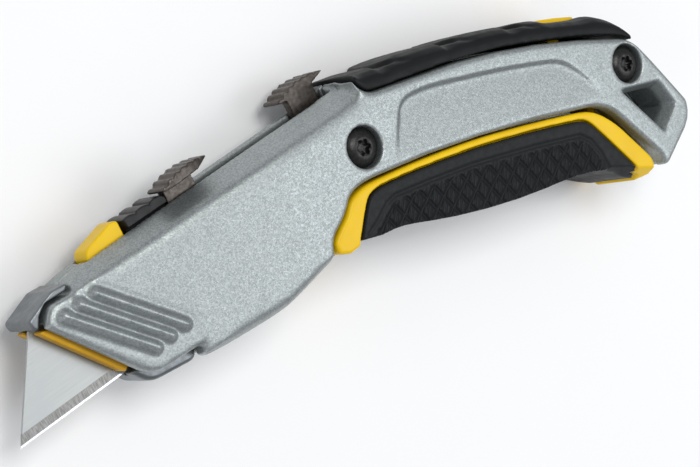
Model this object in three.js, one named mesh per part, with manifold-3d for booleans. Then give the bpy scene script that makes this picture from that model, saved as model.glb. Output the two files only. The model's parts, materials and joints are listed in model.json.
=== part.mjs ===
// Twin-blade retractable utility knife, in millimetres.
// The knife lies on its right side: +X runs from nose to tail, +Y from the cutting side up to the thumb
// sliders, +Z out of the left side. Everything is drawn about the centre plane z = 0 and lifted at the end.

import * as THREE from 'three';
import { mergeVertices } from 'three/addons/utils/BufferGeometryUtils.js';
import Module from 'manifold-3d';

// ---------------------------------------------------------------- driving dimensions
const HALF_WIDTH = 11;                  // centre plane to the flat side of the handle
const NOSE_HALF_WIDTH = 7.2;            // the same at the nose, where the casing narrows
const TAPER_LENGTH = 58;                // x at which the casing reaches its full width
const WALL = 1.8;                       // casing side wall
const GAP = 0.35;                       // clearance between neighbouring parts
const ORIGIN = [64, 10];                // point of the flat right side that becomes the frame's origin

const TRACK_ANGLE = THREE.MathUtils.degToRad(15.5);  // slider track and blades against the body axis
const TRACK_ORIGIN = [-7.1, -19.75];    // point of the extended blade, where u = v = 0
const TRAVEL = 37.2;                    // slider travel from extended to retracted
const CASING_TOP = 23;                  // v of the casing's top edge along the track
const RIM_UNDERSIDE = 21.2;             // v of the roof over the blade carriers
const SLOT_HALF_WIDTH = 3;
const SLOT_U = [29.4, 96.4];

const BLADE = { length: 61.5, height: 19, slant: 14, thickness: 0.65, notchWidth: 3, notchDepth: 2.5 };
const BLADE_Z = 0.9;                    // inner face of each working blade
const SPARE_BLADES = 4;
const SPARE_PITCH = 0.95;
const SPARE_CORNER = [88.5, 0.2];

const SCREW = { head: 4.1, headHeight: 1.9, shaft: 1.5, hole: 1.85, seat: 4.45, seatDepth: 2.6, boss: 2.6 };
const SCREW_PLACES = { front_screw: [79.1, 15.7], rear_screw: [155.8, 16.5] };
const HINGE = { place: [69, -1.8], pin: 0.8, hole: 1.15, knuckle: 2.1 };
const LATCH_PIVOT = [141.4, 17.2];
const BUTTON_BAY = [138.2, 149.8];      // x of the recess for the storage button
const EXTRA = 30;                       // how far cutting tools run past what they cut

// ---------------------------------------------------------------- solids
const wasm = await Module();
wasm.setup();

function solid(geometry) {
  const bare = geometry.clone();
  bare.deleteAttribute('normal');
  bare.deleteAttribute('uv');
  const merged = mergeVertices(bare, 1e-4);
  const mesh = new wasm.Mesh({
    numProp: 3,
    vertProperties: new Float32Array(merged.attributes.position.array),
    triVerts: new Uint32Array(merged.index.array),
  });
  mesh.merge();
  return new wasm.Manifold(mesh);
}

function geometryOf(body) {
  const mesh = body.getMesh();
  const geometry = new THREE.BufferGeometry();
  geometry.setAttribute('position', new THREE.BufferAttribute(new Float32Array(mesh.vertProperties), 3));
  geometry.setIndex(new THREE.BufferAttribute(new Uint32Array(mesh.triVerts), 1));
  return geometry;
}

// Moves every vertex of a solid by a function of its position.
function reshaped(body, move) {
  const geometry = geometryOf(body);
  const places = geometry.attributes.position;
  const point = new THREE.Vector3();
  for (let i = 0; i < places.count; i += 1) {
    point.fromBufferAttribute(places, i);
    move(point);
    places.setXYZ(i, point.x, point.y, point.z);
  }
  return solid(geometry);
}

// The same solid on the other side of the centre plane.
function mirrored(body) {
  const geometry = geometryOf(body);
  geometry.scale(1, 1, -1);
  const index = geometry.index.array;
  for (let i = 0; i < index.length; i += 3) {
    [index[i + 1], index[i + 2]] = [index[i + 2], index[i + 1]];
  }
  return solid(geometry);
}

// Outline with rounded corners: each point is [x, y] or [x, y, corner reach]. A corner takes at most
// 45 percent of the edges beside it, so that two neighbouring corners never meet.
function outline(points) {
  const shape = new THREE.Shape();
  const at = (i) => new THREE.Vector2(...points[(i + points.length) % points.length].slice(0, 2));
  points.forEach((point, i) => {
    const corner = at(i);
    const radius = point[2] ?? 0;
    const towards = (end) => {
      const edge = end.sub(corner);
      return edge.setLength(Math.min(radius, 0.45 * edge.length())).add(corner);
    };
    const before = towards(at(i - 1));
    const after = towards(at(i + 1));
    if (i === 0) shape.moveTo(before.x, before.y);
    else shape.lineTo(before.x, before.y);
    if (radius > 0) shape.quadraticCurveTo(corner.x, corner.y, after.x, after.y);
  });
  shape.closePath();
  return shape;
}

// The same corners moved outwards by distance; the corners run clockwise.
function grown(points, distance) {
  const at = (i) => new THREE.Vector2(...points[(i + points.length) % points.length].slice(0, 2));
  return points.map((point, i) => {
    const before = at(i).sub(at(i - 1)).normalize();
    const after = at(i + 1).sub(at(i)).normalize();
    const miter = new THREE.Vector2(-before.y - after.y, before.x + after.x);
    const scale = distance / (1 + before.dot(after));
    return [point[0] + miter.x * scale, point[1] + miter.y * scale, ...point.slice(2)];
  });
}

// A shape extruded from z0 to z1, with its rims on both faces rounded off by bevel.
function slab(shape, z0, z1, bevel = 0, segments = 1, curveSegments = 3) {
  const geometry = new THREE.ExtrudeGeometry(shape, {
    depth: z1 - z0 - 2 * bevel,
    steps: 1,
    curveSegments,
    bevelEnabled: bevel > 0,
    bevelThickness: bevel,
    bevelSize: bevel,
    bevelOffset: -bevel,
    bevelSegments: segments,
  });
  geometry.translate(0, 0, z0 + bevel);
  return solid(geometry);
}

const plate = (points, z0, z1, bevel = 0) => slab(outline(points), z0, z1, bevel);

function box(x0, x1, y0, y1, z0, z1) {
  const geometry = new THREE.BoxGeometry(x1 - x0, y1 - y0, z1 - z0);
  geometry.translate((x0 + x1) / 2, (y0 + y1) / 2, (z0 + z1) / 2);
  return solid(geometry);
}

function rod([x, y], radius, z0, z1, sides = 20) {
  const geometry = new THREE.CylinderGeometry(radius, radius, z1 - z0, sides);
  geometry.rotateX(Math.PI / 2);
  geometry.translate(x, y, (z0 + z1) / 2);
  return solid(geometry);
}

// A point given along (u) and across (v) the slider track, as [x, y].
function track(u, v) {
  const cos = Math.cos(TRACK_ANGLE);
  const sin = Math.sin(TRACK_ANGLE);
  return [TRACK_ORIGIN[0] + u * cos - v * sin, TRACK_ORIGIN[1] + u * sin + v * cos];
}

const trackPoints = (points) => points.map(([u, v, ...rest]) => [...track(u, v), ...rest]);
const trackBox = (u0, u1, v0, v1, z0, z1) =>
  plate(trackPoints([[u0, v0], [u1, v0], [u1, v1], [u0, v1]]), z0, z1);

// ---------------------------------------------------------------- casing
// Side outline of both shells, counterclockwise from the lower front corner of the nose.
function casingOutline() {
  const shape = new THREE.Shape();
  shape.moveTo(1.6, 0.6);
  shape.lineTo(17.6, -12.2);
  shape.quadraticCurveTo(19.6, -13.9, 22.2, -13.7);
  shape.lineTo(31.9, -11.4);
  shape.lineTo(31.6, -14.1);
  shape.splineThru([new THREE.Vector2(42, -13), new THREE.Vector2(53, -10.5), new THREE.Vector2(65.2, -4.8)]);
  shape.lineTo(65.7, -2.6);
  shape.quadraticCurveTo(65.9, -0.2, 67.7, 1.2);
  shape.quadraticCurveTo(70.8, 3.6, 72.4, 6.5);
  shape.quadraticCurveTo(74, 8.6, 80, 9.2);
  shape.quadraticCurveTo(108, 12.2, 142.2, 9.5);
  shape.quadraticCurveTo(147.2, 8.9, 150, 5.4);
  shape.lineTo(158.6, -4.4);
  shape.quadraticCurveTo(160.2, -6.2, 160.1, -8.2);
  shape.lineTo(161.6, -8);
  shape.lineTo(169.2, -1.6);
  shape.quadraticCurveTo(172.8, 1.8, 171, 6.6);
  shape.lineTo(160.9, 19.2);
  shape.quadraticCurveTo(159.2, 21.4, 155.6, 22.4);
  shape.quadraticCurveTo(130, 27.7, 108, 27.3);
  shape.lineTo(85, 26.1);
  shape.quadraticCurveTo(82, 26.2, 80.6, 30);
  shape.quadraticCurveTo(78.4, 31.6, 75.8, 29.2);
  shape.lineTo(...track(91.6, CASING_TOP));
  shape.lineTo(...track(37, CASING_TOP));
  shape.quadraticCurveTo(13.6, 9.7, 9.5, 7.4);
  shape.lineTo(8.9, 5.5);
  shape.lineTo(3.9, 4.4);
  shape.quadraticCurveTo(2.4, 2.8, 1.6, 0.6);
  return shape;
}

// Hollow inside the casing, before the bosses.
function cavityOutline() {
  return outline([
    [4.2, 1.4], [16, -8.4], [20.6, -10.6], [33.4, -9.2], [34.6, -12], [44, -10.6, 2], [54.5, -8, 2],
    [62.6, -4],
    [63.6, 0.4, 1], [66.8, 3.4, 1], [70.8, 8.4, 1], [75.6, 11.2, 1], [86, 12.2, 1], [112, 13, 2],
    [141.6, 11.8, 2],
    [148.6, 10.6], [151, 12.6, 1], [150, 20.8, 1], [136, 23.6, 1], [110, 25.2, 1], [82, 24.2, 1],
    track(95, RIM_UNDERSIDE), track(24, RIM_UNDERSIDE), [10.4, 5.4],
  ]);
}

const halfWidthAt = (x) => HALF_WIDTH - (HALF_WIDTH - NOSE_HALF_WIDTH) * Math.max(0, 1 - x / TAPER_LENGTH);

// Narrows a solid towards the nose, as the casing does.
function tapered(body) {
  const front = body.intersect(box(-EXTRA, TAPER_LENGTH, -60, 60, -EXTRA, EXTRA));
  const rear = body.intersect(box(TAPER_LENGTH, 300, -60, 60, -EXTRA, EXTRA));
  const narrow = (point) => {
    point.z *= halfWidthAt(point.x) / HALF_WIDTH;
  };
  return reshaped(front, narrow).add(rear);
}

// Cuts the long edge between two outline points at a slant, on the left face of the casing.
// drop is how far the slant reaches down the side, rise how far it reaches in over the edge, and inset
// how far the cut then moves into the casing.
function slant([from, to, drop, rise], inset = 0) {
  const [dx, dy] = [to[0] - from[0], to[1] - from[1]];
  const length = Math.hypot(dx, dy);
  const tool = new THREE.BoxGeometry(length, EXTRA, EXTRA);
  tool.translate(length / 2, EXTRA / 2, EXTRA / 2);
  tool.rotateX(-Math.atan2(rise, drop));
  tool.translate(0, -drop - inset * Math.hypot(drop, rise) / rise, HALF_WIDTH);
  tool.rotateZ(Math.atan2(dy, dx));
  tool.translate(from[0], from[1], 0);
  return solid(tool);
}

const SLANTS = [
  [track(5, CASING_TOP), track(97.5, CASING_TOP), 3, 7.4],
  [[66.6, -4.2], [52, -10.9], 1.5, 2.6],
  [[55, -10], [30, -15], 1.5, 2.6],
  [[155, 29], [176, -0.4], 1.3, 1.8],
];

function slanted(body, inset) {
  return SLANTS.map((edge) => slant(edge, inset))
    .reduce((rest, cut) => rest.subtract(cut).subtract(mirrored(cut)), body);
}

const casingOuter = () => tapered(slanted(slab(casingOutline(), -HALF_WIDTH, HALF_WIDTH, 1, 2, 4), 0));

// Three raised ribs on the side of the nose, one under the other.
function noseRibs() {
  const direction = Math.atan2(-12.2, 18.3);
  const ribs = [[11.6, 4.8], [8.0, 3.7], [4.5, 2.4]].map(([x, y]) => {
    const rib = new THREE.CapsuleGeometry(1, 20, 2, 8);
    rib.rotateZ(Math.PI / 2);
    rib.translate(11, 0, 0);
    rib.rotateZ(direction);
    rib.translate(x, y, 0);
    return solid(rib);
  });
  return ribs.map((rib) => reshaped(rib, (point) => {
    point.z += halfWidthAt(point.x) - 0.15;
  }));
}

// Panel let into the side of the handle: deepest under its top edge, running out towards the magazine.
function handlePanel() {
  const shape = outline([
    [86, 11], [88.4, 17, 3], [91, 22.8, 3.4], [99, 23.8, 4], [120, 22.9, 6], [137, 21.2, 4],
    [146.2, 12.4, 2],
    [146.2, 6], [86, 6],
  ]);
  return reshaped(slab(shape, 0, 6, 0, 1, 4), (point) => {
    if (point.z < 3) point.z = HALF_WIDTH - Math.max(0, (point.y - 11) * 0.085);
    else {
      point.z = HALF_WIDTH + 1;
      point.x += (point.x - 116) * 0.02;
      point.y += 1.2;
    }
  });
}

// Window for a lanyard: a funnel on each side that meets a straight hole through the tail.
function lanyardWindow() {
  const rim = [[151.1, 11.6], [162.2, -1.2], [168, 4.4], [164.2, 11]];
  const centre = [161.4, 6.4];
  const narrowing = 0.7;
  const throat = rim.map(([x, y]) => [
    centre[0] + (x - centre[0]) * narrowing, centre[1] + (y - centre[1]) * narrowing,
  ]);
  const hole = plate(throat, -EXTRA, EXTRA);
  const funnel = reshaped(plate(rim, 0, 4), (point) => {
    const lower = point.z < 2;
    if (lower) {
      point.x = centre[0] + (point.x - centre[0]) * narrowing;
      point.y = centre[1] + (point.y - centre[1]) * narrowing;
    }
    point.z = lower ? HALF_WIDTH - 3.2 : HALF_WIDTH + 0.4;
  });
  return hole.add(funnel).add(mirrored(funnel));
}

// Space that the two blades sweep, halfDepth either side of the centre plane.
function bladePath(halfDepth) {
  const rear = BLADE.length + TRAVEL + 0.6;
  const shape = trackPoints([[-0.9, -0.6], [rear, -0.6], [rear - BLADE.slant, 19.5], [13.9, 19.5]]);
  return plate(shape, -halfDepth, halfDepth);
}

function casing() {
  let body = casingOuter();
  const innerHalf = HALF_WIDTH - WALL;
  let hollow = tapered(slanted(slab(cavityOutline(), -innerHalf, innerHalf), 1.4));
  // Mouth of the nose, from which the blades come out, and the bay for the guard under it.
  hollow = hollow.add(plate([[-0.4, -1.2], [16.6, -14.6], [22, -9], [5.6, 4.6]], -5.5, 5.5));
  hollow = hollow.add(bladePath(2.2));
  hollow = hollow.add(plate([[16, -12.6], [19.6, -9], [33.4, -8], [33.4, -19], [16, -19]], -5.1, 5.1));
  // Opening over the magazine, and the slot of the sliders.
  hollow = hollow.add(plate([
    [67.4, -6], [70.2, 8.8], [76.6, 13], [146, 13], [153.6, 6.8], [161.6, -9], [120, -12],
  ], -7.4, 7.4));
  hollow = hollow.add(plate([[146, 4], [153.2, 4], [152.6, 13.2], [146, 13.2]], -2.6, 2.6));
  hollow = hollow.add(trackBox(SLOT_U[0], SLOT_U[1], 18, CASING_TOP + 12, -SLOT_HALF_WIDTH, SLOT_HALF_WIDTH));
  hollow = hollow.add(trackBox(29.8, 40.2, 18, 21.8, -3.8, 3.8));
  hollow = hollow.add(box(BUTTON_BAY[0], BUTTON_BAY[1], 21.4, 31, -4.6, 4.6));
  body = body.subtract(hollow);
  for (const side of [-1, 1]) {
    const [near, far] = [1.9 * side, (innerHalf + 0.4) * side];
    body = body.add(box(BUTTON_BAY[0], BUTTON_BAY[1], 20.4, 21.2, Math.min(near, far), Math.max(near, far)));
  }
  for (const place of Object.values(SCREW_PLACES)) {
    body = body.add(rod(place, SCREW.boss, -innerHalf - 0.4, innerHalf + 0.4));
    body = body.add(rod(place, SCREW.seat + 1.3, 5.2, innerHalf + 0.4));
  }
  // Knuckles between the cheeks of the magazine, each on a web from the side wall.
  const arm = plate([[60.6, -5.4], [65.3, -4.4], [69, -3.8], [69, 0.2], [65.4, 1.2], [60.6, 0.6]], 3.6, 7);
  const web = plate([[60.6, -5.4], [65.2, -4.4], [65.4, -2], [64.6, 1.2], [60.6, 0.6]], 6.6, innerHalf + 0.4);
  const knuckle = arm.add(web).add(rod(HINGE.place, HINGE.knuckle, 3.6, 7, 14));
  body = body.add(knuckle).add(mirrored(knuckle)).subtract(bladePath(2.2));
  body = body.subtract(rod(HINGE.place, HINGE.hole, -9.4, 9.4, 14));
  for (const rib of noseRibs()) body = body.add(rib).add(mirrored(rib));
  const panel = handlePanel();
  return body.subtract(panel).subtract(mirrored(panel)).subtract(lanyardWindow());
}

function leftShell(whole) {
  let body = whole.intersect(box(-60, 300, -60, 60, GAP / 2, EXTRA));
  for (const place of Object.values(SCREW_PLACES)) {
    body = body.subtract(rod(place, SCREW.seat, HALF_WIDTH - SCREW.seatDepth, EXTRA, 28));
    body = body.subtract(rod(place, SCREW.hole, 0, EXTRA, 16));
  }
  return body;
}

function rightShell(whole) {
  let body = whole.intersect(box(-60, 300, -60, 60, -EXTRA, -GAP / 2));
  for (const place of Object.values(SCREW_PLACES)) {
    body = body.subtract(rod(place, SCREW.hole, -8, 0, 16));
  }
  return body;
}

// ---------------------------------------------------------------- nose
// Inner nose casting: hood over the nose, thin wall between the two blades, and guard under the mouth.
function noseFrame() {
  const hood = plate([
    [-0.9, 2.4, 0.8], [0.1, 0.55, 0.4], [1.15, 0.75], [1.85, 2.9], [3.5, 4.85], [8.45, 5.95], [9.0, 7.4],
    [5.4, 6.75],
  ], -5.3, 5.3, 0.2);
  const wall = plate(trackPoints([
    [13.6, 19.1], [14.6, 16.6], [27.4, 0], [29, -2.6], [38, -3.6], [38, 19.1],
  ]), -0.45, 0.45);
  const guard = plate([
    [17.2, -12.9], [20.3, -15.35, 1], [22.4, -15.8, 1], [31.3, -14.6, 0.8], [32.3, -13.6, 0.5],
    [32, -11], [20.4, -10.4],
  ], -4.7, 4.7, 0.6);
  const bladeSlot = bladePath(1.95).subtract(bladePath(0.55));
  return hood.add(guard).subtract(bladeSlot).add(wall);
}

// Plastic guide that fills the mouth beside one blade.
function noseGuide() {
  return plate([
    [1.4, 0.1], [1.1, -0.3], [16.1, -12.25, 0.5], [19.4, -8.2], [5.6, 2.6], [4, 0.1],
  ], 1.9, 5.1, 0.15);
}

// ---------------------------------------------------------------- blades and sliders (u, v, z)
function bladeBody(z0) {
  const { length, height, slant: lean, notchWidth, notchDepth } = BLADE;
  const middle = length / 2;
  const notch = (centre) => [
    [centre + notchWidth / 2, height], [centre + notchWidth / 2, height - notchDepth],
    [centre - notchWidth / 2, height - notchDepth], [centre - notchWidth / 2, height],
  ];
  const shape = outline([
    [0, 0], [length, 0],
    [length - lean, height], ...notch(middle + 4), ...notch(middle - 4), [lean, height],
  ]);
  const body = slab(shape, z0, z0 + BLADE.thickness);
  // Ground edge: both faces slope to the cutting edge over the lowest 2.2 mm.
  const centre = z0 + BLADE.thickness / 2;
  const edge = 0.03;
  const slope = (BLADE.thickness / 2 - edge) / 2.2;
  const bevel = plate([[-5, -1], [length + 5, -1], [length + 5, 2.2], [-5, 2.2]], 0, 2);
  const upper = reshaped(bevel, (point) => {
    point.z = point.z > 1 ? centre + 2 : centre + edge + point.y * slope;
  });
  const lower = reshaped(bevel, (point) => {
    point.z = point.z < 1 ? centre - 2 : centre - edge - point.y * slope;
  });
  return body.subtract(upper).subtract(lower);
}

// Carrier that holds one blade from its outer side and hooks into a notch of the blade.
function bladeCarrier() {
  const back = plate([
    [31, 6, 1], [51, 6.4, 1.5], [52, 14.7, 1], [50.6, 14.7], [50.6, 19.2], [23.2, 19.2],
  ], 1.9, 4.4);
  const hook = plate([[33.8, 16.9], [35.7, 16.9], [35.7, 18.9], [33.8, 18.9]], 0.9, 2.2);
  return back.add(hook);
}

// Thumb pad with its stem through the slot and its foot beside the carrier.
function thumbPad() {
  const ridges = 7;
  const front = 49;
  const step = 1.84;
  const points = [[front + 0.2, 25.8], [51, 25.7], [58.5, 25.9], [62.4, 27]];
  for (let i = ridges - 1; i >= 0; i -= 1) {
    const u = front + i * step;
    const crown = 28.1 - 0.034 * (u + step / 2 - 56.5) ** 2;
    points.push([u + step * 0.95, crown - 0.2], [u + step * 0.35, crown + 0.12], [u, crown - 0.28]);
  }
  const ridged = plate(points, 0.4, 7.2);
  const plan = new THREE.Shape();
  plan.moveTo(front - 1, 0);
  plan.lineTo(64, 0);
  plan.lineTo(64, 3.4);
  plan.quadraticCurveTo(62.4, 5.4, 58.6, 6.4);
  plan.quadraticCurveTo(55.5, 7.1, 52, 7);
  plan.lineTo(49.2, 6.6);
  plan.lineTo(front - 1, 6);
  const planTool = new THREE.ExtrudeGeometry(plan, { depth: 10, bevelEnabled: false, curveSegments: 4 });
  planTool.rotateX(Math.PI / 2);
  planTool.translate(0, 32, 0);
  const stem = plate([[51, 19.5], [58.5, 19.5], [58.5, 26.4], [51, 26.2]], 0.4, 2.6);
  const foot = plate([[51, 15.1], [58.5, 15.1], [58.5, 20], [51, 20]], 1.9, 3.9);
  return ridged.intersect(solid(planTool)).add(stem).add(foot);
}

// Leaf spring on the carrier that clicks into the roof of the casing.
function detentSpring() {
  const shape = new THREE.Shape();
  shape.moveTo(39.6, 19.55);
  shape.lineTo(42, 19.55);
  shape.quadraticCurveTo(44.6, 22, 47.2, 19.55);
  shape.lineTo(49.4, 19.55);
  shape.lineTo(49.4, 19.85);
  shape.lineTo(47.3, 19.85);
  shape.quadraticCurveTo(44.6, 22.4, 41.9, 19.85);
  shape.lineTo(39.6, 19.85);
  return slab(shape, 2.1, 3.1, 0, 1, 5);
}

// Steel plate that keeps the two carriers apart behind the nose casting.
function centrePlate() {
  return plate(trackPoints([
    [38.4, 1.4, 2], [59, -0.6], [68, -0.2], [75, 4.4, 2], [83, 4.4, 3], [88.6, 8.6, 2], [88.6, 14, 2],
    [87, 19.1, 1],
    [38.4, 19.1],
  ]), -0.45, 0.45);
}

// ---------------------------------------------------------------- release button and thumb ramp (u, v, z)
function releaseButton() {
  const cap = plate([
    [30, 21.3], [39.3, 21.3], [39.5, 25.7, 0.6], [38, 26.1, 0.5], [30.6, 24.2, 0.8], [29.9, 22.8, 0.4],
  ], -2.65, 2.65, 0.3);
  const flange = plate([[30.4, 20.8], [39, 20.8], [39, 21.45], [30.4, 21.45]], -3.5, 3.5);
  return cap.add(flange);
}

function releaseSpring() {
  const shape = new THREE.Shape();
  shape.moveTo(31, 19.35);
  shape.quadraticCurveTo(34.7, 21.3, 38.4, 19.35);
  shape.lineTo(38.4, 19.65);
  shape.quadraticCurveTo(34.7, 21.6, 31, 19.65);
  return slab(shape, -2, 2, 0, 1, 6);
}

// Fixed ramp with three humps between the release button and the extended slider.
function thumbRamp() {
  const humps = 3;
  const front = 40;
  const rear = 50.5;
  const pitch = (rear - front) / humps;
  const shape = new THREE.Shape();
  shape.moveTo(front + 0.3, CASING_TOP + GAP);
  shape.lineTo(rear, CASING_TOP + GAP);
  for (let i = humps - 1; i >= 0; i -= 1) {
    const u = front + i * pitch;
    shape.lineTo(u + pitch, 24.5);
    shape.bezierCurveTo(u + pitch * 0.9, 25.6, u + pitch * 0.35, 25.6, u, 25.3);
  }
  const top = slab(shape, -3.6, 3.6, 0, 1, 4);
  return top.add(plate([[40.2, 21.4], [50.4, 21.4], [50.4, 23.8], [40.2, 23.8]], -2.65, 2.65));
}

// ---------------------------------------------------------------- back cover and storage release
const COVER_X = [81.2, 159.5];
// Height of the casing's seat under the cover, and of the cover's top, along the back.
const lineThrough = (points) => new THREE.SplineCurve(points.map((point) => new THREE.Vector2(...point)));
const seatLine = lineThrough([
  [81, 29], [82.4, 27.4], [84.6, 26.5], [96, 27.15], [108, 27.75], [122, 27.6], [140, 25.9], [150, 24.35],
  [155.6, 23.1], [158.3, 22], [160.2, 20.7],
]);
const topLine = lineThrough([
  [80.8, 30.6], [88, 31.2], [97, 32.2], [106, 32.4], [116, 32.5], [125, 32.1], [134, 31.5], [138.2, 30.2],
  [146, 29.3], [150, 29.3], [154, 28], [157.4, 25.5], [159.8, 22.1],
]);

function heightAt(curve, x) {
  let [low, high] = [0, 1];
  for (let i = 0; i < 24; i += 1) {
    const middle = (low + high) / 2;
    if (curve.getPoint(middle).x < x) low = middle;
    else high = middle;
  }
  return curve.getPoint((low + high) / 2).y;
}

// Soft cover over the back: flat where it sits, arched across its top, notched where the palm rolls.
function topCover() {
  const halfWidth = 10.4;
  const round = 5.2;
  const notches = [89.4, 107.4, 126];
  const block = new THREE.BoxGeometry(COVER_X[1] - COVER_X[0], 2, 2, 60, 1, 10);
  block.translate((COVER_X[0] + COVER_X[1]) / 2, 0, 0);
  const places = block.attributes.position;
  for (let i = 0; i < places.count; i += 1) {
    const x = places.getX(i);
    const side = places.getZ(i);
    const z = Math.sign(side) * halfWidth * Math.sin(Math.abs(side) * Math.PI / 2) ** 0.9;
    const bottom = heightAt(seatLine, x);
    const over = Math.max(0, Math.abs(z) - (halfWidth - round)) / round;
    // A notch is steep towards the nose and runs out softly towards the tail.
    const notch = Math.max(...notches.map((place) => {
      const width = x < place ? 0.9 : 2.4;
      return Math.exp(-(((x - place) / width) ** 2));
    }));
    const top = heightAt(topLine, x) - notch;
    const arch = (top - bottom - 1) * 0.86 * (1 - Math.sqrt(1 - Math.min(1, over) ** 2));
    places.setY(i, places.getY(i) < 0 ? bottom : Math.max(bottom + 0.8, top - arch));
    places.setZ(i, z);
  }
  return solid(block).subtract(box(BUTTON_BAY[0], BUTTON_BAY[1], 20, 40, -4.6, 4.6));
}

function storageButton() {
  const cap = plate([[138.55, 26.2], [149.45, 25.2], [149.45, 29.7, 0.6], [144, 30.5, 1], [138.55, 31, 0.6]],
    -4.2, 4.2, 0.4);
  const stem = box(142.4, 145.6, 21.1, 27.4, -1.5, 1.5);
  return cap.add(stem);
}

// Compression spring around the axis of the storage button.
function coilSpring(radius, height, turns, wire) {
  const points = [];
  const perTurn = 10;
  for (let i = 0; i <= turns * perTurn; i += 1) {
    const angle = (i / perTurn) * 2 * Math.PI;
    const y = (i / (turns * perTurn)) * height;
    points.push(new THREE.Vector3(radius * Math.cos(angle), y, radius * Math.sin(angle)));
  }
  const section = new THREE.Shape();
  section.absarc(0, 0, wire, 0, 2 * Math.PI);
  const geometry = new THREE.ExtrudeGeometry(section, {
    steps: turns * perTurn,
    curveSegments: 5,
    bevelEnabled: false,
    extrudePath: new THREE.CatmullRomCurve3(points),
  });
  return solid(geometry);
}

// Lever that hooks behind the magazine; its upper arm lies under the storage button.
function storageLatch() {
  const arm = plate([
    [139.2, 17.2, 1.2], [140.4, 14.8, 1], [143.4, 13], [145.6, 9.6, 0.4], [147.1, 9.6, 0.3],
    [147.1, 10.8, 0.3],
    [145.6, 14.2], [143.8, 16.6, 0.6], [144.2, 18.5, 0.6], [146.6, 19.2, 0.4], [146.6, 20.4, 0.6],
    [144.4, 20.5, 0.8],
    [141, 19.4, 1],
  ], -1.5, 1.5);
  return arm.subtract(rod(LATCH_PIVOT, 1.25, -4, 4, 14));
}

// ---------------------------------------------------------------- magazine
// Outer edge of the magazine, and of the rubber laid into its sides.
const MAGAZINE = [
  [66.9, -3.6, 0.6], [66.3, -1.2, 1.2], [68.5, 1.1, 1], [70.9, 3.2, 1], [72.8, 6.2, 1.5], [76.8, 8.2, 3],
  [90, 9.6, 6],
  [108, 10.5, 10], [126, 10, 8], [142.6, 8.9, 4], [148.6, 4.6, 3], [157.6, -6.1, 2], [156.8, -9.2],
  [153.8, -9.9],
];
const BELLY = [
  [148.6, -7.8, 2], [143.4, -4.9, 4], [134, -3.9, 5], [116, -4.9, 8], [98, -4, 8], [84, -2, 4],
  [76, -2.3, 3],
];
const GRIP = [
  [73, -2.4], [75, 1.4, 2], [77.4, 5.7, 2], [80.4, 7, 2], [90, 7.9, 5], [108, 8.7, 8], [126, 8.2, 6],
  [140, 7.2, 2.5],
  [145.8, 0.4, 3], [151.8, -7, 1], [152.6, -9.1],
];

// Cuts the lower edge of the magazine's tail end at a slant on both sides, so that it narrows downwards.
function beaked(body) {
  const [from, to] = [[142, -4.1], [160, -8.4]];
  const [drop, depth] = [3, 4.6];
  const tool = new THREE.BoxGeometry(Math.hypot(to[0] - from[0], to[1] - from[1]), 4 * EXTRA, EXTRA);
  tool.translate(10, 0, EXTRA / 2);
  tool.rotateX(Math.atan2(depth, drop));
  tool.rotateZ(Math.atan2(to[1] - from[1], to[0] - from[0]));
  tool.translate(from[0], from[1], 10.6);
  const cut = solid(tool);
  return body.subtract(cut).subtract(mirrored(cut));
}

function magazineFrame() {
  const outer = slab(outline([...MAGAZINE, ...BELLY, [69.8, -4.2]]), -10.4, 10.4, 0.5, 1, 3);
  const skin = plate(grown([...GRIP, [152.6, -14], [73, -14]], GAP), 8.4, EXTRA);
  const sole = plate([[72.8, -3], [84, -0.4], [98, -2.4, 6], [116, -3.3, 6], [134, -2.3, 6], [143, -3.4, 4],
    [153.55, -8.4], [153.55, -14], [72.8, -14]], -EXTRA, EXTRA);
  const pocket = plate([[87.4, -0.15], [150.5, -0.15], [146.6, 20], [87.4, 20]], -3.4, 3.4);
  const slot = plate([[64, 0], [74.4, 0.6], [90, 5.2], [90, 20], [66, 20]], -2.3, 2.3);
  const hook = plate([
    [148.8, 3.2], [151.4, 0.6], [151.2, 12.2, 0.6], [148.8, 12.4], [147.5, 11.2], [149.2, 10.8],
  ], -1.7, 1.7);
  let body = outer.subtract(skin).subtract(mirrored(skin)).subtract(sole);
  body = body.subtract(pocket).subtract(slot).add(hook);
  const room = plate([[60, -9], [71.9, -9], [71.9, 0.6], [70.4, 2], [60, 2]], 3.25, 7.35);
  body = body.subtract(room).subtract(mirrored(room));
  return beaked(body).subtract(rod(HINGE.place, HINGE.hole, -9.4, 9.4, 14));
}

// Rubber laid over the magazine's sides and under its belly.
function magazineGrip() {
  const outer = slab(outline([...GRIP, ...BELLY.slice(0, 6), [78.4, -2.6]]), -10.7, 10.7, 0.4, 1, 2);
  const core = plate([
    [72, -3.4], [84, -0.75], [98, -2.75, 6], [116, -3.65, 6], [134, -2.65, 6], [143, -3.75, 4], [154, -8.9],
    [160, 20], [60, 20],
  ], -8.75, 8.75);
  return beaked(outer.subtract(core));
}

function spareBlade(number) {
  const z = (number - (SPARE_BLADES - 1) / 2) * SPARE_PITCH - BLADE.thickness / 2;
  return reshaped(bladeBody(z), (point) => {
    point.x += SPARE_CORNER[0];
    point.y += SPARE_CORNER[1];
  });
}

// Bowed leaf that presses the spare blades together.
function bladeClip() {
  const shape = new THREE.Shape();
  shape.moveTo(96, 2.75);
  shape.quadraticCurveTo(118, 1.9, 140, 2.75);
  shape.lineTo(140, 3.05);
  shape.quadraticCurveTo(118, 2.25, 96, 3.05);
  const geometry = new THREE.ExtrudeGeometry(shape, { depth: 5, bevelEnabled: false, curveSegments: 8 });
  geometry.rotateX(Math.PI / 2);
  return solid(geometry);
}

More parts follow.
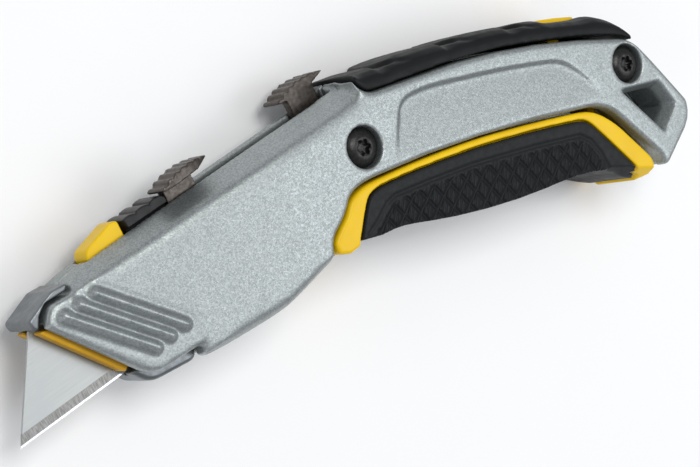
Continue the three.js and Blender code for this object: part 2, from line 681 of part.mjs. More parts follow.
// ---------------------------------------------------------------- screws
// Button-head screw along the z axis, head up, with a six-lobed recess.
function screwBody(length) {
  const { head, headHeight, shaft } = SCREW;
  const profile = [
    [0, -length], [shaft - 0.3, -length], [shaft, -length + 0.5], [shaft, 0], [head, 0], [head, 0.5],
    [head - 0.5, 1.3], [head - 1.5, headHeight], [0, headHeight],
  ].map((point) => new THREE.Vector2(...point));
  const turned = new THREE.LatheGeometry(profile, 24);
  turned.rotateX(Math.PI / 2);
  const lobes = new THREE.Shape();
  const steps = 24;
  for (let i = 0; i <= steps; i += 1) {
    const angle = (i / steps) * 2 * Math.PI;
    const radius = 1.5 + 0.28 * Math.cos(6 * angle);
    if (i === 0) lobes.moveTo(radius, 0);
    else lobes.lineTo(radius * Math.cos(angle), radius * Math.sin(angle));
  }
  return solid(turned).subtract(slab(lobes, headHeight - 1.2, headHeight + 2));
}

// ---------------------------------------------------------------- assembly
const FINISH = {
  castPaint: { color: 0xa3a9ad, roughness: 0.42, metalness: 0.75 },
  smoothCast: { color: 0x7f878c, roughness: 0.35, metalness: 0.8 },
  gunmetal: { color: 0x4f4844, roughness: 0.45, metalness: 0.8 },
  steel: { color: 0xc4c8cb, roughness: 0.28, metalness: 0.95 },
  springSteel: { color: 0x8d9194, roughness: 0.35, metalness: 0.9 },
  blackScrew: { color: 0x1c1c1e, roughness: 0.4, metalness: 0.6 },
  yellow: { color: 0xf2bf0c, roughness: 0.4, metalness: 0 },
  blackPlastic: { color: 0x17181a, roughness: 0.5, metalness: 0 },
  rubber: { color: 0x1b1e22, roughness: 0.75, metalness: 0 },
};

const knife = new THREE.Group();
knife.position.set(-ORIGIN[0], -ORIGIN[1], HALF_WIDTH);
const trackGroup = new THREE.Group();
trackGroup.position.set(TRACK_ORIGIN[0], TRACK_ORIGIN[1], 0);
trackGroup.rotation.z = TRACK_ANGLE;
knife.add(trackGroup);

function part(name, body, finish, parent = knife) {
  const geometry = body instanceof THREE.BufferGeometry ? body : geometryOf(body);
  const mesh = new THREE.Mesh(geometry, new THREE.MeshStandardMaterial(FINISH[finish]));
  mesh.name = name;
  parent.add(mesh);
  return mesh;
}

const wholeCasing = casing();
part('left_shell', leftShell(wholeCasing), 'castPaint');
part('right_shell', rightShell(wholeCasing), 'castPaint');
part('nose_frame', noseFrame(), 'smoothCast');
part('left_nose_guide', noseGuide(), 'yellow');
part('right_nose_guide', mirrored(noseGuide()), 'yellow');
part('centre_plate', centrePlate(), 'steel');
part('top_cover', topCover(), 'rubber');
part('thumb_ramp', thumbRamp(), 'blackPlastic', trackGroup);
part('release_button', releaseButton(), 'yellow', trackGroup);
part('release_spring', releaseSpring(), 'springSteel', trackGroup);

for (const [name, [x, y]] of Object.entries(SCREW_PLACES)) {
  const screw = part(name, screwBody(14.6), 'blackScrew');
  screw.position.set(x, y, HALF_WIDTH - SCREW.seatDepth + 0.3);
}

// The left slider stands at the front of its travel and the right one at the back.
for (const side of ['left', 'right']) {
  const slider = new THREE.Group();
  const hand = side === 'left' ? (body) => body : mirrored;
  slider.position.x = side === 'left' ? 0 : TRAVEL;
  trackGroup.add(slider);
  part(`${side}_thumb_pad`, hand(thumbPad()), 'gunmetal', slider);
  part(`${side}_blade_carrier`, hand(bladeCarrier()), 'blackPlastic', slider);
  part(`${side}_blade`, hand(bladeBody(BLADE_Z)), 'steel', slider);
  part(`${side}_detent_spring`, hand(detentSpring()), 'springSteel', slider);
}

part('storage_button', storageButton(), 'yellow');
const storageSpring = part('storage_spring', coilSpring(3.1, 2.9, 3, 0.22), 'springSteel');
storageSpring.position.set(144, 21.8, 0);
part('storage_latch', storageLatch(), 'blackPlastic');
part('latch_pin', rod(LATCH_PIVOT, 0.95, -8.6, 8.6, 14), 'steel');
part('magazine_frame', magazineFrame(), 'yellow');
part('magazine_grip', magazineGrip(), 'rubber');
part('magazine_hinge_pin', rod(HINGE.place, HINGE.pin, -9.2, 9.2, 14), 'steel');
for (let i = 0; i < SPARE_BLADES; i += 1) part(`spare_blade_${i + 1}`, spareBlade(i), 'steel');
part('blade_clip', bladeClip(), 'springSteel').position.set(0, 6, 0);

export default knife;
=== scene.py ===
"""Looks of a twin-blade utility knife that lies on its right side. Metres, in the row's frame.

Castings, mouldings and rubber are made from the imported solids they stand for: each solid is remeshed
finely, its edges are worn round, and its surface detail is shaped into the new mesh. The screws are turned
anew. Blades, carriers, springs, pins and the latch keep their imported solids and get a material.
"""
import json
import math

import bpy
import numpy as np
from mathutils import Matrix, Vector


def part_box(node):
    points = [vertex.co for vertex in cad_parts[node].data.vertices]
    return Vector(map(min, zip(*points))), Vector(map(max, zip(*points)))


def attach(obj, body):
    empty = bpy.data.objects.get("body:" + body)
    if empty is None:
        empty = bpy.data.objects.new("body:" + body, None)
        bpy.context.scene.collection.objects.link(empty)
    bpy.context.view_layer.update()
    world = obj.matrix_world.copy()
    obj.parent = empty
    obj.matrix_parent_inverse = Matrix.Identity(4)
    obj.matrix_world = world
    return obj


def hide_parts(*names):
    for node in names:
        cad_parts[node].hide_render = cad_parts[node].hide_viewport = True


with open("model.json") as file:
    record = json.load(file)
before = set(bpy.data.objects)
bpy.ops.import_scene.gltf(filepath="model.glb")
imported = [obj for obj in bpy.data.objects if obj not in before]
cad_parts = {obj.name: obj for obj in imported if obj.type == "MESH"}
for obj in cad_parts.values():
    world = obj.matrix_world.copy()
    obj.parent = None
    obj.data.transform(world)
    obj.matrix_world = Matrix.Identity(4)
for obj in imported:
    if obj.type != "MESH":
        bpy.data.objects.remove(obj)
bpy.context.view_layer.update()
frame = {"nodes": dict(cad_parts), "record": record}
NODES = frame["nodes"]
BODY_OF = {node: body for body, nodes in frame["record"]["behaviour"]["bodies"].items() for node in nodes}

MM = 0.001
# Side-view sizes below are millimetres from the foot of the extended blade's front edge, on the centre
# plane. The row's origin lies this far from it.
ORIGIN = np.array([64.0, 10.0, -11.0])
TRACK_ANGLE = math.radians(15.5)            # the slider track against the body's axis
TRACK_ORIGIN = np.array([-7.1, -19.75])     # tip of the extended blade


# ---------------------------------------------------------------- camera, light and floor
CAMERA_LENS = 102.86
CAMERA_PLACE = (-0.22450, 0.03019, 0.34948)
CAMERA_AHEAD = Vector((0.57268, -0.10002, -0.81365))
CAMERA_UP = Vector((0.26072, 0.96322, 0.06509))
FLOOR_REACH = 3.0
SKY_COLOUR = (0.95, 0.97, 1.0, 1)
SKY_STRENGTH = 0.42
# Each light is its name, place, target, size in metres, power in watts and colour.
LIGHTS = [
    ("key", (-0.05, 0.28, 0.85), (0, 0, 0), 0.4, 3.6, (1.0, 0.99, 0.97)),
    ("front_softbox", (0.50, -0.15, 0.72), (0, 0, 0), 0.5, 2.3, (0.96, 0.98, 1.0)),
    ("rim", (-0.5, -0.25, 0.35), (-0.03, 0, 0), 0.25, 0.3, (1.0, 1.0, 1.0)),
]


def add_camera():
    data = bpy.data.cameras.new("camera")
    data.lens = CAMERA_LENS
    data.clip_start = 0.01
    camera = bpy.data.objects.new("camera", data)
    right = CAMERA_AHEAD.cross(CAMERA_UP)
    facing = Matrix((right, CAMERA_UP, -CAMERA_AHEAD)).transposed().to_4x4()
    camera.matrix_world = Matrix.Translation(CAMERA_PLACE) @ facing
    bpy.context.scene.collection.objects.link(camera)
    bpy.context.scene.camera = camera


def add_light(name, at, target, size, power, colour):
    data = bpy.data.lights.new(name, "AREA")
    data.size = size
    data.energy = power
    data.color = colour
    light = bpy.data.objects.new(name, data)
    light.location = at
    light.rotation_euler = (Vector(target) - Vector(at)).to_track_quat("-Z", "Y").to_euler()
    bpy.context.scene.collection.objects.link(light)


def add_stage():
    floor = bpy.data.meshes.new("floor")
    corners = [(-1, -1), (1, -1), (1, 1), (-1, 1)]
    floor.from_pydata([(x * FLOOR_REACH, y * FLOOR_REACH, 0) for x, y in corners], [], [(0, 1, 2, 3)])
    piece = bpy.data.objects.new("floor", floor)
    bpy.context.scene.collection.objects.link(piece)
    pale = Look("pale_floor", Roughness=0.9)
    pale.colour(pale.blend(pale.noise(40), 0.3, 0.7, (0.94, 0.94, 0.945), (0.95, 0.95, 0.955)))
    floor.materials.append(pale.material)
    world = bpy.data.worlds.new("studio")
    world.use_nodes = True
    world.node_tree.nodes["Background"].inputs["Color"].default_value = SKY_COLOUR
    world.node_tree.nodes["Background"].inputs["Strength"].default_value = SKY_STRENGTH
    bpy.context.scene.world = world
    bpy.context.scene.view_settings.view_transform = "Standard"
    for light in LIGHTS:
        add_light(*light)


# ---------------------------------------------------------------- materials
class Look:
    """One procedural material: a Principled shader and the nodes that feed it."""

    def __init__(self, name, **settings):
        self.material = bpy.data.materials.new(name)
        self.material.use_nodes = True
        self.nodes = self.material.node_tree.nodes
        self.links = self.material.node_tree.links
        self.shader = self.nodes["Principled BSDF"]
        self.place = self.nodes.new("ShaderNodeTexCoord").outputs["Object"]
        for socket, value in settings.items():
            self.shader.inputs[socket.replace("_", " ")].default_value = value

    def feed(self, socket, value):
        if isinstance(value, bpy.types.NodeSocket):
            self.links.new(value, socket)
        else:
            socket.default_value = value

    def add(self, kind, settings=None, **inputs):
        node = self.nodes.new("ShaderNode" + kind)
        for key, value in (settings or {}).items():
            setattr(node, key, value)
        for key, value in inputs.items():
            self.feed(node.inputs[key.replace("_", " ")], value)
        return node

    def noise(self, size, detail=2.0, stretch=None, turn=0.0):
        """Noise with features about size millimetres across, drawn out by stretch along each axis."""
        place = self.place
        if stretch:
            turned = self.add("VectorRotate", {"rotation_type": "Z_AXIS"}, Vector=place, Angle=-turn)
            scale = tuple(1 / s for s in stretch)
            place = self.add("Mapping", Vector=turned.outputs[0], Scale=scale).outputs[0]
        return self.add("TexNoise", Vector=place, Scale=1 / (size * MM), Detail=detail).outputs[0]

    def flakes(self, size):
        """One random value per cell about size millimetres across."""
        cells = self.add("TexVoronoi", Vector=self.place, Scale=1 / (size * MM))
        return self.add("SeparateColor", Color=cells.outputs["Color"]).outputs[0]

    def attribute(self, name):
        return self.add("Attribute", {"attribute_name": name}).outputs["Fac"]

    def math(self, operation, *values):
        node = self.add("Math", {"operation": operation})
        for socket, value in zip(node.inputs, values):
            self.feed(socket, value)
        return node.outputs[0]

    def span(self, value, low, high, first, last):
        """first where value is low or less, last where it is high or more, and between in between."""
        return self.add("MapRange", Value=value, From_Min=low, From_Max=high, To_Min=first,
                        To_Max=last).outputs[0]

    def blend(self, value, low, high, first, last):
        """The same between two colours, each a colour or a socket."""
        node = self.add("Mix", {"data_type": "RGBA"})
        self.feed(node.inputs[0], self.span(value, low, high, 0.0, 1.0))
        for socket, colour in ((node.inputs[6], first), (node.inputs[7], last)):
            self.feed(socket, colour if isinstance(colour, bpy.types.NodeSocket) else (*colour, 1))
        return node.outputs[2]

    def colour(self, value):
        self.feed(self.shader.inputs["Base Color"], value)

    def roughness(self, value):
        self.feed(self.shader.inputs["Roughness"], value)

    def bump(self, *layers):
        """Each layer is (height, depth in millimetres, strength)."""
        normal = None
        for height, depth, strength in layers:
            node = self.add("Bump", Height=height, Distance=depth * MM, Strength=strength)
            if normal:
                self.links.new(normal, node.inputs["Normal"])
            normal = node.outputs[0]
        self.links.new(normal, self.shader.inputs["Normal"])

    def track_height(self):
        """Millimetres from the blade's cutting edge, across the slider track."""
        sine, cosine = math.sin(TRACK_ANGLE), math.cos(TRACK_ANGLE)
        across = self.add("VectorMath", {"operation": "DOT_PRODUCT"})
        self.feed(across.inputs[0], self.place)
        self.feed(across.inputs[1], (-sine / MM, cosine / MM, 0))
        shift = -(ORIGIN[0] - TRACK_ORIGIN[0]) * sine + (ORIGIN[1] - TRACK_ORIGIN[1]) * cosine
        return self.math("ADD", across.outputs["Value"], shift)


def casing_paint():
    """Silver paint with metal flakes, on a lightly pebbled casting. Its edges are lighter, partly from
    rubbing and partly as a painted highlight, and its hollows are darker as painted shade.
    """
    look = Look("silver_flake_paint", Metallic=0.75, IOR=1.5)
    flakes = look.flakes(0.26)
    base = look.blend(flakes, 0.0, 1.0, (0.262, 0.288, 0.290), (0.392, 0.424, 0.425))
    # Lighter on convex edges: partly rubbed paint, partly a painted highlight. Darker in hollows, where the
    # attribute goes negative: painted shade.
    rubbed_edge_and_painted_highlight = look.blend(look.attribute("wear_and_shade"), 0.3, 1.0, base, (0.52, 0.55, 0.56))
    painted_hollow_shade = look.blend(look.attribute("wear_and_shade"), -0.6, -0.06, (0.185, 0.20, 0.205), rubbed_edge_and_painted_highlight)
    look.colour(painted_hollow_shade)
    look.roughness(look.span(look.flakes(0.33), 0, 1, 0.36, 0.52))
    look.bump((look.noise(0.45, 3), 0.04, 0.6), (flakes, 0.02, 0.4))
    return look.material


def nose_casting():
    """Smooth plated zinc, brighter on its rubbed edges."""
    look = Look("smooth_casting", Metallic=0.85)
    base = look.blend(look.noise(5, 4), 0.35, 0.65, (0.15, 0.165, 0.175), (0.20, 0.215, 0.225))
    look.colour(look.blend(look.attribute("wear_and_shade"), 0.25, 0.9, base, (0.52, 0.54, 0.55)))
    look.roughness(look.span(look.noise(1.2, 4), 0.3, 0.7, 0.30, 0.44))
    look.bump((look.noise(0.8, 4), 0.04, 0.4))
    return look.material


def gunmetal():
    """Cast gunmetal: brown-grey and pitted, polished by the thumb on its crests."""
    look = Look("gunmetal", Metallic=0.9)
    base = look.blend(look.noise(0.9, 4), 0.3, 0.7, (0.06, 0.052, 0.046), (0.115, 0.10, 0.09))
    look.colour(look.blend(look.attribute("wear_and_shade"), 0.2, 0.8, base, (0.30, 0.275, 0.25)))
    look.roughness(look.span(look.noise(0.5, 3), 0.3, 0.7, 0.30, 0.46))
    look.bump((look.noise(0.5, 4), 0.03, 0.4))
    return look.material


def plastic(name, low, high, rough):
    """Moulded plastic with a fine spark-eroded grain and a slight variation of colour."""
    look = Look(name, IOR=1.46, Specular_IOR_Level=0.3)
    look.colour(look.blend(look.noise(6, 3), 0.3, 0.7, low, high))
    look.roughness(look.span(look.noise(1.5, 3), 0.3, 0.7, rough - 0.06, rough + 0.06))
    look.bump((look.noise(0.25, 2), 0.015, 0.5))
    return look.material


def cover_rubber():
    """Fine matte rubber, slightly polished where it is rubbed."""
    look = Look("cover_rubber", IOR=1.4, Specular_IOR_Level=0.32)
    base = look.blend(look.noise(8, 4), 0.3, 0.7, (0.0030, 0.0034, 0.0040), (0.0055, 0.0061, 0.0070))
    look.colour(look.blend(look.attribute("wear_and_shade"), 0.3, 1.0, base, (0.013, 0.0138, 0.0155)))
    look.roughness(look.span(look.noise(2.5, 4), 0.3, 0.7, 0.46, 0.60))
    look.bump((look.noise(0.22, 2), 0.02, 0.5))
    return look.material


# Grip texture, in degrees and millimetres.
FURROW_ANGLES = (48, -34)
FURROW_PITCH = 3.3
HATCH_ANGLE = 24
HATCH_PITCH = 0.95
TEXTURE_DEPTH = 0.42


def grip_rubber():
    """Matte rubber. In its panel crossing furrows make diamonds, with a fine slanting hatch over them, and
    painted shade darkens the furrows.
    """
    look = Look("grip_rubber", IOR=1.4, Specular_IOR_Level=0.3)
    panel = look.attribute("panel")

    def furrows(angle, pitch, narrow):
        """Parallel bands. At scale 1 the wave texture repeats every pi / 10."""
        turn = math.radians(angle)
        turned = look.add("VectorRotate", {"rotation_type": "Z_AXIS"}, Vector=look.place, Angle=turn)
        scale = math.pi / 10 / (pitch * MM)
        wave = look.add("TexWave", {"bands_direction": "X"}, Vector=turned.outputs[0], Scale=scale,
                        Distortion=0.0, Detail=0.0)
        return look.math("POWER", wave.outputs["Fac"], narrow)

    lattice = look.math("MAXIMUM", *(furrows(angle, FURROW_PITCH, 5.0) for angle in FURROW_ANGLES))
    hatch = look.math("MULTIPLY", furrows(HATCH_ANGLE, HATCH_PITCH, 1.5), look.math("SUBTRACT", 1.0, lattice))
    height = look.math("MULTIPLY", look.math("SUBTRACT", look.math("MULTIPLY", hatch, 0.6), lattice), panel)
    base = look.blend(look.noise(6, 4), 0.3, 0.7, (0.0060, 0.0080, 0.0098), (0.0092, 0.0118, 0.0138))
    smooth = look.blend(look.flakes(0.3), 0.0, 1.0, (0.0085, 0.0105, 0.0120), (0.0135, 0.0158, 0.0175))
    # Painted shade: the panel is darker where the furrows and the hatch lie low.
    textured = look.blend(height, -1.0, 0.4, (0.005, 0.006, 0.008), base)
    look.colour(look.blend(panel, 0.0, 0.6, smooth, textured))
    look.roughness(look.span(look.noise(1.8, 4), 0.3, 0.7, 0.46, 0.62))
    look.bump((height, TEXTURE_DEPTH, 1.0), (look.noise(0.25, 2), 0.02, 0.5))
    return look.material


HONED_EDGE = (0.36, 0.44)       # where the honed edge ends, above the cutting edge
GROUND_EDGE = (2.16, 2.24)      # where the grinding ends


def blade_steel(ground_edge):
    """Satin strip steel. The working blades show the darker grinding and the bright honed edge."""
    name = "blade_steel_ground" if ground_edge else "blade_steel"
    look = Look(name, Metallic=0.55)
    brushed = look.noise(0.16, 3, (40, 1, 1), TRACK_ANGLE)
    base = look.blend(brushed, 0.3, 0.7, (0.345, 0.36, 0.36), (0.42, 0.432, 0.43))
    mottled = look.blend(look.noise(7, 4), 0.35, 0.7, base, (0.37, 0.388, 0.392))
    look.bump((brushed, 0.01, 0.35))
    if not ground_edge:
        look.colour(mottled)
        look.roughness(look.span(brushed, 0.3, 0.7, 0.28, 0.42))
        return look.material
    height = look.track_height()
    grinding = look.noise(0.22, 3, (1, 30, 1), TRACK_ANGLE)
    ground = look.blend(grinding, 0.32, 0.68, (0.17, 0.168, 0.16), (0.34, 0.34, 0.33))
    unhoned = look.blend(height, *GROUND_EDGE, ground, mottled)
    look.colour(look.blend(height, *HONED_EDGE, (0.86, 0.88, 0.90), unhoned))
    look.roughness(look.span(height, 0.3, 0.6, 0.18, 0.36))
    return look.material


def spring_steel():
    look = Look("spring_steel", Metallic=0.9)
    look.colour(look.blend(look.noise(2, 3, (12, 1, 1)), 0.3, 0.7, (0.40, 0.41, 0.42), (0.52, 0.53, 0.54)))
    look.roughness(look.span(look.noise(0.8, 3), 0.3, 0.7, 0.26, 0.40))
    return look.material


def black_oxide():
    """Black-oxided screw steel."""
    look = Look("black_oxide", Metallic=0.55)
    look.colour(look.blend(look.noise(0.7, 4), 0.3, 0.7, (0.010, 0.010, 0.011), (0.028, 0.027, 0.026)))
    look.roughness(look.span(look.noise(0.5, 3), 0.3, 0.7, 0.26, 0.42))
    look.bump((look.noise(0.3, 3), 0.02, 0.4))
    return look.material


# ---------------------------------------------------------------- meshes
def places_of(mesh):
    places = np.empty(len(mesh.vertices) * 3)
    mesh.vertices.foreach_get("co", places)
    return places.reshape(-1, 3)


def normals_of(mesh):
    normals = np.empty(len(mesh.vertices) * 3)
    mesh.vertex_normals.foreach_get("vector", normals)
    return normals.reshape(-1, 3)


def relaxed(mesh, places, rounds, share=0.5):
    """Moves every vertex a share of the way to the middle of its neighbours, rounds times."""
    edges = np.empty(len(mesh.edges) * 2, dtype=np.int64)
    mesh.edges.foreach_get("vertices", edges)
    starts, ends = edges.reshape(-1, 2).T
    count = len(places)
    degree = np.bincount(starts, minlength=count) + np.bincount(ends, minlength=count)
    for _ in range(rounds):
        near = np.empty_like(places)
        for axis in range(3):
            near[:, axis] = np.bincount(starts, places[ends, axis], count)
            near[:, axis] += np.bincount(ends, places[starts, axis], count)
        places = places + share * (near / degree[:, None] - places)
    return places


def store(mesh, name, values):
    attribute = mesh.attributes.new(name, "FLOAT", "POINT")
    attribute.data.foreach_set("value", values.astype(np.float32))


FULL_WEAR = 0.22        # depth worn off an edge that counts as full wear
SOFT_ROUNDS = 60        # further rounds of relaxing where an edge is softened


def worn(node, name, material, voxel, rounds, shape=None, soften=None):
    """Piece that stands for a CAD node, remeshed at voxel millimetres and worn round by rounds of relaxing.

    shape takes side-view places and normals, and returns new places and the values of further attributes.
    soften takes side-view places and says where, from 0 to 1, the edges are rounded much more widely.
    """
    mesh = NODES[node].data.copy()
    mesh.materials.clear()
    piece = bpy.data.objects.new(name, mesh)
    bpy.context.scene.collection.objects.link(piece)
    remesh = piece.modifiers.new("remesh", "REMESH")
    remesh.mode = "VOXEL"
    remesh.voxel_size = voxel * MM
    graph = bpy.context.evaluated_depsgraph_get()
    fine = bpy.data.meshes.new_from_object(piece.evaluated_get(graph))
    piece.modifiers.clear()
    piece.data = fine
    sharp = places_of(fine)
    soft = relaxed(fine, sharp, rounds)
    worn_off = sharp - soft
    if soften:
        softness = soften(soft / MM + ORIGIN)[:, None]
        soft = relaxed(fine, soft, SOFT_ROUNDS, 0.5 * softness)
        worn_off *= 1 - softness
    fine.vertices.foreach_set("co", soft.ravel())
    fine.update()
    normals = normals_of(fine)
    # Depth worn off along the normal: positive on rounded edges, which the paints lighten, and negative in
    # hollows, which the casing paint darkens as painted shade.
    store(fine, "wear_and_shade", np.clip((worn_off * normals).sum(axis=1) / (FULL_WEAR * MM), -1, 1))
    if shape:
        shaped, values = shape(soft / MM + ORIGIN, normals)
        fine.vertices.foreach_set("co", ((shaped - ORIGIN) * MM).ravel())
        for key, value in values.items():
            store(fine, key, value)
    fine.shade_smooth()
    fine.materials.append(material)
    finish(piece, node)


def finish(piece, node):
    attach(piece, BODY_OF[node])
    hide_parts(node)


def path_distance(points, path):
    """Distance in a plane from each point to a polyline."""
    nearest = np.full(len(points), np.inf)
    for start, end in zip(path[:-1], path[1:]):
        start, along = np.array(start), np.array(end) - np.array(start)
        share = np.clip((points - start) @ along / (along @ along), 0, 1)
        nearest = np.minimum(nearest, np.linalg.norm(points - start - share[:, None] * along, axis=1))
    return nearest


def inside(points, corners):
    """Whether each point lies inside a polygon."""
    x, y = points.T
    within = np.zeros(len(points), dtype=bool)
    for (x0, y0), (x1, y1) in zip(corners, corners[1:] + corners[:1]):
        crosses = (y0 > y) != (y1 > y)
        if y0 != y1:
            within ^= crosses & (x < x0 + (y - y0) * (x1 - x0) / (y1 - y0))
    return within


def groove(distance, width, depth):
    return depth * np.exp(-((distance / (width / 2)) ** 2))


def ramp(values, start, end):
    """0 at start, 1 at end, straight between them and flat past them."""
    return np.clip((values - start) / (end - start), 0, 1)


def band(values, start, full, fading, end):
    """0 up to start, 1 from full to fading, 0 again from end on, and straight in between."""
    return ramp(values, start, full) * ramp(values, end, fading)


def across_track(places):
    """How far each place lies from the cutting edge, across the slider track."""
    x, y = (places[:, :2] - TRACK_ORIGIN).T
    return y * math.cos(TRACK_ANGLE) - x * math.sin(TRACK_ANGLE)


# Side-view stretches over which the casing's edges are softened, as start, full, fading and end.
SHOULDER_HEIGHT = (16.5, 18.5, 21.6, 22.6)
SHOULDER_LENGTH = (14.0, 20.0, 79.0, 84.0)
HUMP_LENGTH = (72.0, 75.0, 82.5, 86.0)
BELLY_HEIGHT = (-14.5, -12.5, -5.0, -3.0)
BELLY_LENGTH = (36.0, 42.0, 62.0, 66.0)
BELLY_SOFTNESS = 0.8


def casing_softness(places):
    """The shoulder below the track, the hump in front of the cover, and the belly's lower edge."""
    x, y, z = places.T
    height = across_track(places)
    side = ramp(np.abs(z), 4.2, 6.0)
    shoulder = band(height, *SHOULDER_HEIGHT) * band(x, *SHOULDER_LENGTH) * side
    hump = ramp(height, 20.5, 22.5) * band(x, *HUMP_LENGTH) * side
    belly = band(y, *BELLY_HEIGHT) * band(x, *BELLY_LENGTH) * side
    return np.maximum(np.maximum(shoulder, hump), BELLY_SOFTNESS * belly)


RIB_STARTS = [(11.6, 4.8), (8.0, 3.7), (4.5, 2.4)]
RIB_ANGLE = math.atan2(-12.2, 18.3)
RIB_SPAN = (1.2, 20.8)      # first and last place of the crest, along the rib
CREST_HEIGHT = 0.46
CREST_WIDTH = 1.05
HEM_DEPTH = 0.12
HEM_WIDTH = 0.5
HEM_DISTANCE = 1.9


def casing_shape(places, normals):
    """Raises the crests of the nose ribs, and lets in a shallow hem round each of them."""
    lift = np.zeros(len(places))
    along = np.array([math.cos(RIB_ANGLE), math.sin(RIB_ANGLE)])
    for start in RIB_STARTS:
        ends = [np.array(start) + along * reach for reach in RIB_SPAN]
        distance = path_distance(places[:, :2], ends)
        lift += CREST_HEIGHT * np.exp(-((distance / CREST_WIDTH) ** 2))
        lift -= HEM_DEPTH * np.exp(-(((distance - HEM_DISTANCE) / HEM_WIDTH) ** 2))
    outward = ramp(np.abs(normals[:, 2]), 0.2, 0.6) * ramp(np.abs(places[:, 2]), 6.0, 6.6)
    direction = np.zeros_like(places)
    direction[:, 2] = np.sign(places[:, 2])
    return places + direction * (lift * outward)[:, None], {}


GRIP_GROOVE = [(75.0, -1.6), (78.2, 0.6), (81.4, 3.4), (84.0, 4.4), (93.1, 5.0), (105.4, 5.5), (124.0, 5.0),
               (137.0, 4.2), (139.8, 2.4), (141.8, -0.8), (143.1, -4.6)]
PANEL_FOOT = [(143.1, -12.0), (75.2, -12.0)]        # below the grip, where the panel runs out
PANEL_SINK = 0.15


def grip_shape(places, normals):
    """Cuts the groove round the textured panel on both sides of the grip, and lets the panel in a little."""
    flat = places[:, :2]
    distance = path_distance(flat, GRIP_GROOVE)
    panel = inside(flat, GRIP_GROOVE + PANEL_FOOT)
    level = ramp(distance, 0.0, 1.2) * panel
    outward = np.clip(np.abs(normals[:, 2]) * 1.6 - 0.6, 0, 1)
    lift = -PANEL_SINK * level - groove(distance, 0.9, 0.5)
    shaped = places + normals * (lift * outward)[:, None]
    return shaped, {"panel": ramp(distance, 0.7, 1.5) * panel}


COVER_NOTCHES = (89.4, 107.4, 126.0)
# How far back a notch runs, against the distance from the knife's middle plane.
CRESCENT = [(0.0, 0.0), (0.2, 3.0), (1.0, 5.6), (3.0, 7.8), (6.0, 9.2), (9.0, 10.0)]
LIP_BACK = 1.7
LIP_OUT = 0.6


def cover_shape(places, normals):
    """Runs each notch of the cover on down its sides as a crescent, under a raised lip."""
    lift = np.zeros(len(places))
    plan = np.column_stack([places[:, 0], np.abs(places[:, 2])])
    for at in COVER_NOTCHES:
        distance = path_distance(plan, [(at + back, out) for back, out in CRESCENT])
        lip = path_distance(plan, [(at + back + LIP_BACK, out + LIP_OUT) for back, out in CRESCENT])
        fade = ramp(places[:, 0], at + 9.0, at + 2.0)
        lift += (0.22 * np.exp(-((lip / 0.9) ** 2)) - groove(distance, 1.5, 0.75)) * fade
    upward = np.clip(normals[:, 1] * 1.5 + 0.2, 0, 1)
    return places + normals * (lift * upward)[:, None], {}


# ---------------------------------------------------------------- screws
SHANK_RADIUS = 1.5
LOBE_DEPTH = 0.27
# Radius against depth below the top: the head, from its underside to the mouth of the recess, and the recess.
HEAD_RINGS = [(3.9, 1.9), (4.06, 1.82), (4.1, 1.65), (4.1, 1.3), (4.02, 1.12), (3.7, 0.8), (3.2, 0.42),
              (2.6, 0.15), (2.1, 0.02)]
RECESS_RINGS = [(1.62, 0.0), (1.52, 0.08), (1.48, 0.3), (1.46, 1.2)]
RECESS_FLOOR = (0.6, 1.3)


def lofted(name, rings, material):
    """Closed turned body. Each ring is (radius or radius by angle, height), from the bottom up."""
    sides = 96
    angles = [2 * math.pi * i / sides for i in range(sides)]
    points = [(0, 0, rings[0][1])]
    for radius, height in rings:
        reach = radius if callable(radius) else (lambda angle, fixed=radius: fixed)
        points += [(reach(a) * math.cos(a), reach(a) * math.sin(a), height) for a in angles]
    points.append((0, 0, rings[-1][1]))
    last = len(points) - 1
    faces = []
    for i in range(sides):
        after = (i + 1) % sides
        faces.append((0, 1 + after, 1 + i))
        for ring in range(len(rings) - 1):
            base = 1 + ring * sides
            faces.append((base + i, base + after, base + sides + after, base + sides + i))
        faces.append((last, last - sides + i, last - sides + after))
    mesh = bpy.data.meshes.new(name)
    mesh.from_pydata([(x * MM, y * MM, z * MM) for x, y, z in points], [], faces)
    mesh.shade_smooth()
    mesh.materials.append(material)
    piece = bpy.data.objects.new(name, mesh)
    bpy.context.scene.collection.objects.link(piece)
    return piece


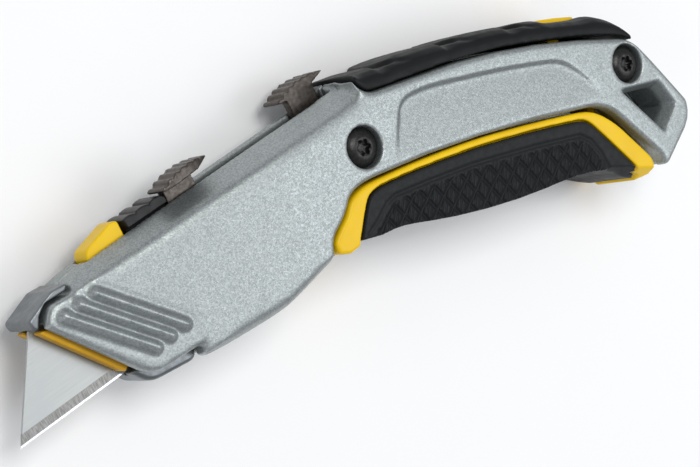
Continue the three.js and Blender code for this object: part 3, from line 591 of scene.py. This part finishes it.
def add_screw(node, material):
    """Button-head screw with a six-lobed recess, in place of a CAD screw."""
    low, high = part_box(node)
    centre = (low + high) / 2
    top = high.z / MM
    bottom = low.z / MM

    def lobes(reach):
        return lambda angle: reach + LOBE_DEPTH * math.cos(6 * angle)

    underside = top - HEAD_RINGS[0][1]
    rings = [(0.9, bottom), (1.2, bottom), (SHANK_RADIUS, bottom + 0.5), (SHANK_RADIUS, underside)]
    rings += [(radius, top - depth) for radius, depth in HEAD_RINGS]
    rings += [(lobes(radius), top - depth) for radius, depth in RECESS_RINGS]
    rings.append((RECESS_FLOOR[0], top - RECESS_FLOOR[1]))
    screw = lofted(node.replace("screw", "button_screw"), rings, material)
    for vertex in screw.data.vertices:
        vertex.co.x += centre.x
        vertex.co.y += centre.y
    finish(screw, node)


# ---------------------------------------------------------------- assembly
add_camera()
add_stage()

PAINT = casing_paint()
CASTING = nose_casting()
GUNMETAL = gunmetal()
STEEL = blade_steel(False)
GROUND_STEEL = blade_steel(True)
SPRING = spring_steel()
OXIDE = black_oxide()
COVER = cover_rubber()
GRIP = grip_rubber()
YELLOW = plastic("yellow_plastic", (0.80, 0.50, 0.002), (0.86, 0.56, 0.003), 0.36)
OCHRE = plastic("guide_plastic", (0.58, 0.30, 0.006), (0.68, 0.37, 0.010), 0.38)
BLACK = plastic("black_plastic", (0.005, 0.005, 0.0055), (0.010, 0.010, 0.011), 0.36)

for hand in ("left", "right"):
    worn(f"{hand}_shell", f"{hand}_casing", PAINT, 0.36, 6, casing_shape, casing_softness)
    worn(f"{hand}_nose_guide", f"{hand}_guide_strip", OCHRE, 0.2, 3)
    worn(f"{hand}_thumb_pad", f"{hand}_ridged_pad", GUNMETAL, 0.2, 3)
worn("nose_frame", "nose_casting", CASTING, 0.25, 4)
worn("top_cover", "back_cover", COVER, 0.35, 4, cover_shape)
worn("thumb_ramp", "humped_ramp", BLACK, 0.2, 3)
worn("release_button", "front_button", YELLOW, 0.2, 3)
worn("storage_button", "back_button", YELLOW, 0.25, 3)
worn("magazine_frame", "magazine_band", YELLOW, 0.3, 4)
worn("magazine_grip", "magazine_rubber", GRIP, 0.3, 4, grip_shape)
for screw_node in ("front_screw", "rear_screw"):
    add_screw(screw_node, OXIDE)

KEPT = [
    (GROUND_STEEL, ["left_blade", "right_blade"]),
    (STEEL, [f"spare_blade_{number}" for number in range(1, 5)]),
    (SPRING, ["centre_plate", "release_spring", "left_detent_spring", "right_detent_spring", "storage_spring",
              "latch_pin", "magazine_hinge_pin", "blade_clip"]),
    (BLACK, ["left_blade_carrier", "right_blade_carrier", "storage_latch"]),
]
for kept_material, node_names in KEPT:
    for node_name in node_names:
        for material_slot in NODES[node_name].material_slots:
            material_slot.material = kept_material
